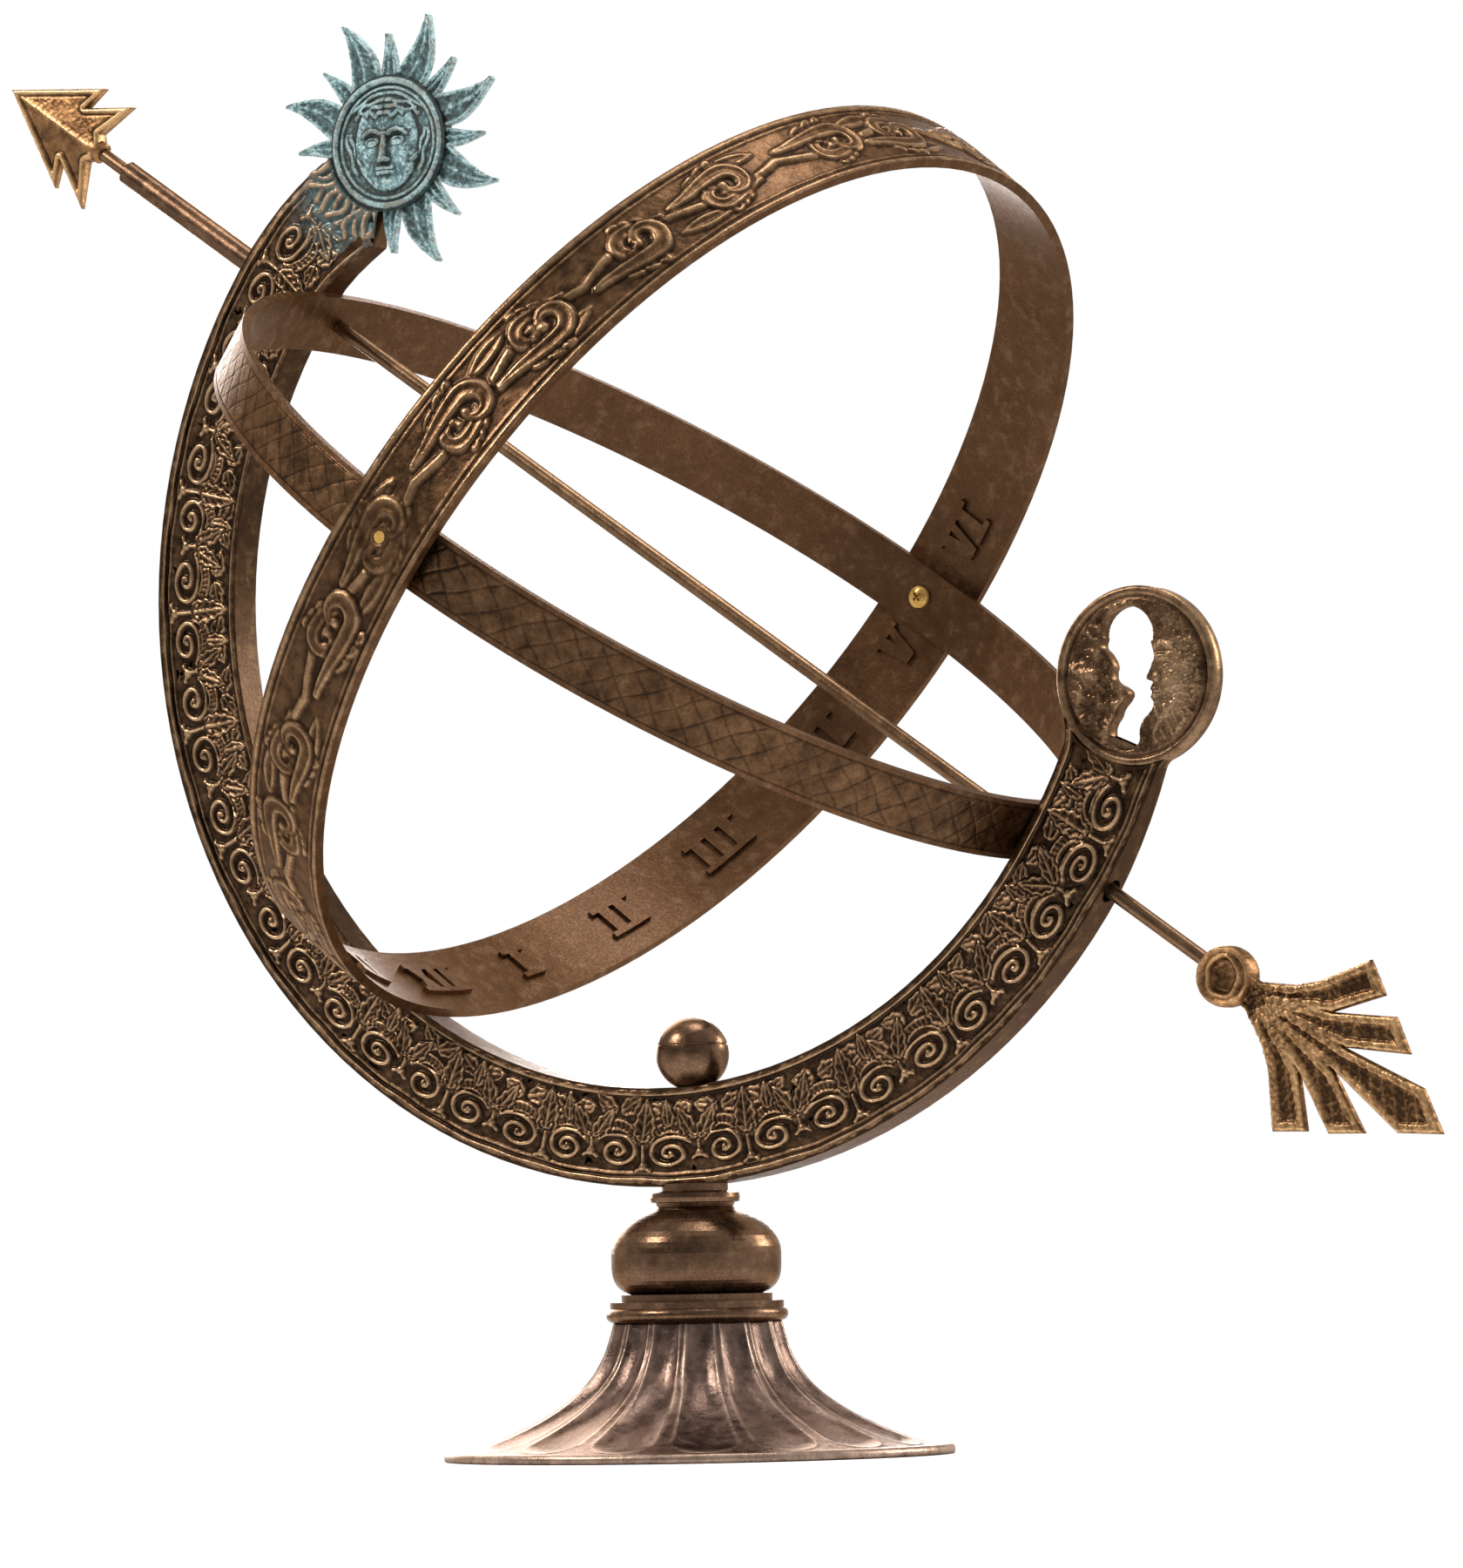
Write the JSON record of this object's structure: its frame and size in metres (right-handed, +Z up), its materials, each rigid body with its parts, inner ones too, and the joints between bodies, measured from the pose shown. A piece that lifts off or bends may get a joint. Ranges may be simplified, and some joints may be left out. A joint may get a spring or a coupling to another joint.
{
  "type": "sundial",
  "caption": "Armillary sundial: a fluted foot and turned pedestal carry a bronze meridian arc with an arrow gnomon, a polar ring, an hour ring with raised numerals, a sun and a moon.",
  "frame": {"origin": "the middle of the foot's underside, on the pedestal's axis", "axes": "+Z up; the meridian arc lies in the XZ plane with the sun and the arrow head towards -X; +Y is square to the arc, away from the face that the picture shows"},
  "size_m": [0.6915, 0.4298, 0.6133],
  "materials": {
    "foot_bronze": "cast bronze, dark brown patina rubbed lighter on the ridges",
    "dark_bronze": "turned bronze, dark brown patina",
    "arc_bronze": "cast bronze, dark in the field, golden brown on the raised borders",
    "ring_bronze": "rolled bronze, brown patina, finely granular",
    "rod_bronze": "drawn bronze, brown, half bright",
    "arrow_bronze": "cast bronze, brown patina",
    "verdigris": "bronze under blue-green verdigris",
    "brass": "polished brass",
    "steel": "plain steel"
  },
  "bodies": {
    "pedestal": {"fluted_foot": "foot_bronze", "collar": "dark_bronze", "bulb": "dark_bronze", "neck": "dark_bronze", "stud": "steel", "bottom_washer": "steel", "bottom_nut": "steel"},
    "ball_nut": {"ball_nut": "dark_bronze"},
    "arc": {"meridian_arc": "arc_bronze", "sun": "verdigris", "moon_disc": "arc_bronze", "guide_sleeve": "dark_bronze", "north_spacer": "dark_bronze", "south_bush": "dark_bronze", "lock_screw": "steel"},
    "gnomon": {"gnomon_rod": "rod_bronze", "arrow_head": "arrow_bronze", "arrow_tail": "arrow_bronze"},
    "polar_ring": {"polar_ring": "ring_bronze", "pivot_screws": "brass", "jam_nuts": "brass", "pivot_washers": "brass"},
    "hour_ring": {"hour_ring": "ring_bronze", "hour_numerals": "ring_bronze"}
  },
  "joints": [
    {"name": "arc_swivel", "type": "hinge", "parent": "pedestal", "child": "arc", "pos_m": [0, 0, 0.1132], "axis": [0, 0, 1], "continuous": true},
    {"name": "ball_nut_turn", "type": "hinge", "parent": "pedestal", "child": "ball_nut", "pos_m": [0, 0, 0.1531], "axis": [0, 0, 1], "continuous": true},
    {"name": "gnomon_turn", "type": "hinge", "parent": "arc", "child": "gnomon", "pos_m": [-0.006, 0, 0.369], "axis": [-0.8241, 0, 0.5664], "continuous": true},
    {"name": "polar_ring_turn", "type": "hinge", "parent": "arc", "child": "polar_ring", "pos_m": [-0.006, 0, 0.369], "axis": [-0.8241, 0, 0.5664], "range_deg": [-50, 50]},
    {"name": "hour_ring_tilt", "type": "hinge", "parent": "polar_ring", "child": "hour_ring", "pos_m": [-0.006, 0, 0.369], "axis": [0, 1, 0], "range_deg": [-27, 35]}
  ]
}
